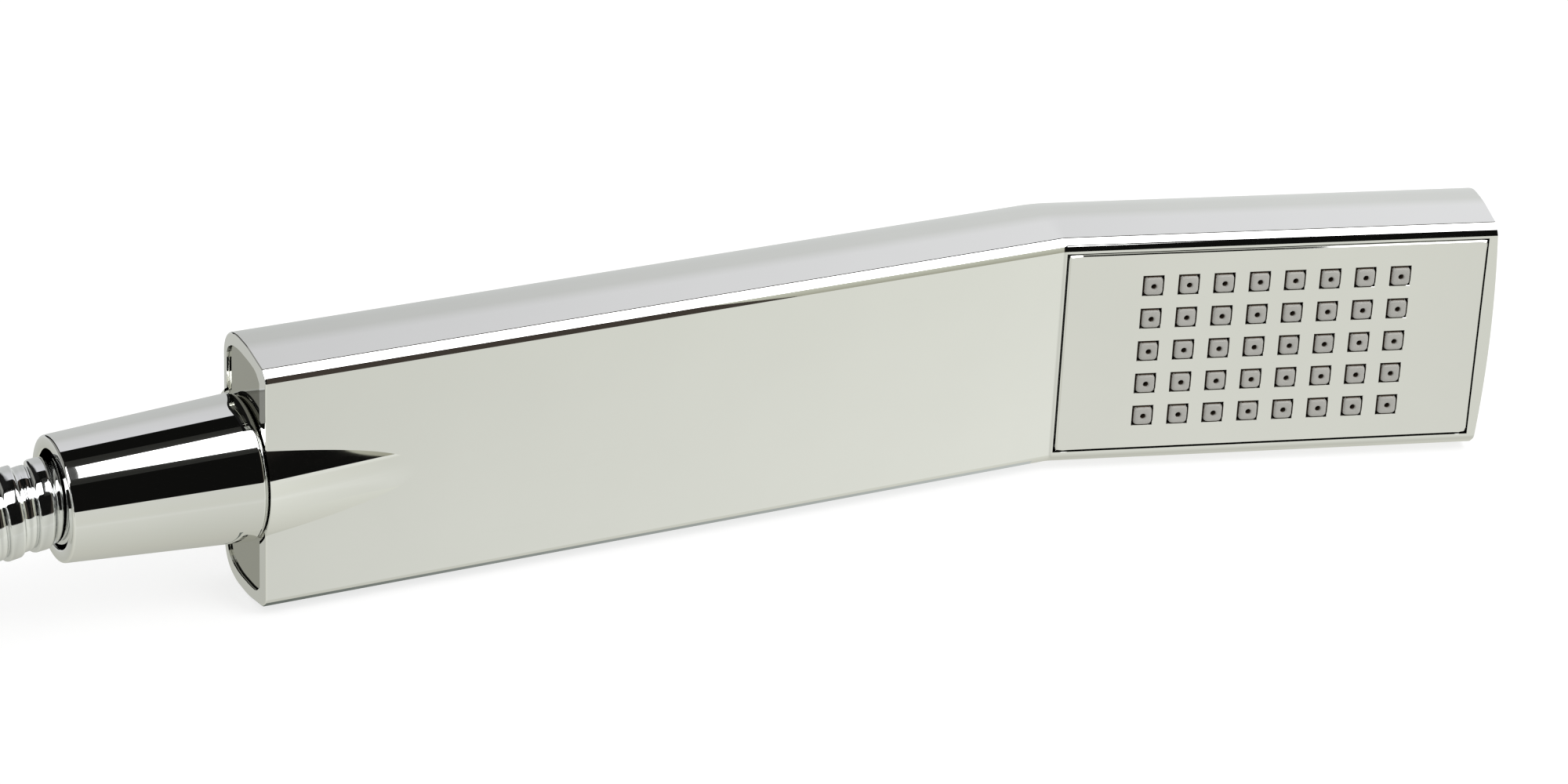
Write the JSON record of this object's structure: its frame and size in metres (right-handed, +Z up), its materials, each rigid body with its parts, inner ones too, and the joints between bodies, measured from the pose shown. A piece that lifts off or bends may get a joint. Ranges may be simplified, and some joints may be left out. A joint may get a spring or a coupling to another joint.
{
  "type": "handheld shower head",
  "caption": "Flat angled hand shower, chrome, with a square-windowed spray face, conical hose nut and a metal hose tied into a hank.",
  "frame": {"origin": "on the floor under the middle of the handset with its conical nut, which lies on one long narrow side", "axes": "+X along the handle towards the spray head, -Y out of the spray face, +Z up"},
  "size_m": [0.509, 0.1128, 0.0554],
  "materials": {
    "body_chrome": "bright mirror chrome, soft fine scratches",
    "plate_chrome": "bright mirror chrome",
    "nut_chrome": "bright mirror chrome",
    "grey_insert": "glossy mid grey",
    "nozzle_silicone": "soft grey silicone, satin",
    "white_plastic": "moulded, matt",
    "seal_rubber": "black, matt",
    "screw_steel": "plain stainless",
    "brass": "turned, plain",
    "ferrule_steel": "smooth pressed stainless",
    "hose_steel": "polished interlocked strip",
    "tie_strap": "ribbed soft strap, matt"
  },
  "bodies": {
    "root": {"body_shell": "body_chrome", "face_plate": "plate_chrome", "tail_plate": "grey_insert", "nozzle_mat": "nozzle_silicone", "spray_base": "white_plastic", "water_chamber": "white_plastic", "waterway_tube": "white_plastic", "flow_regulator": "white_plastic", "chamber_seal": "seal_rubber", "inlet_oring": "seal_rubber", "inlet_washer": "seal_rubber", "supply_washer": "seal_rubber", "face_screw_1": "screw_steel", "face_screw_2": "screw_steel", "face_screw_3": "screw_steel", "face_screw_4": "screw_steel", "inlet_spigot": "brass", "hose_tail": "brass", "supply_tail": "brass", "hose_ferrule": "ferrule_steel", "supply_ferrule": "ferrule_steel", "hose": "hose_steel", "hose_turn_1": "hose_steel", "hose_turn_2": "hose_steel", "hose_top_turn": "hose_steel", "hank_tie_1": "tie_strap", "hank_tie_2": "tie_strap"},
    "hose_cone": {"cone_nut": "nut_chrome"},
    "supply_union": {"supply_nut": "nut_chrome"}
  },
  "joints": [
    {"name": "cone_turn", "type": "hinge", "parent": "root", "child": "hose_cone", "pos_m": [-0.11095, 0.00905, 0.0221], "axis": [1, 0, 0], "continuous": true},
    {"name": "supply_turn", "type": "hinge", "parent": "root", "child": "supply_union", "pos_m": [-0.24395, -0.07895, 0.0434], "axis": [1, 0, 0], "continuous": true}
  ]
}
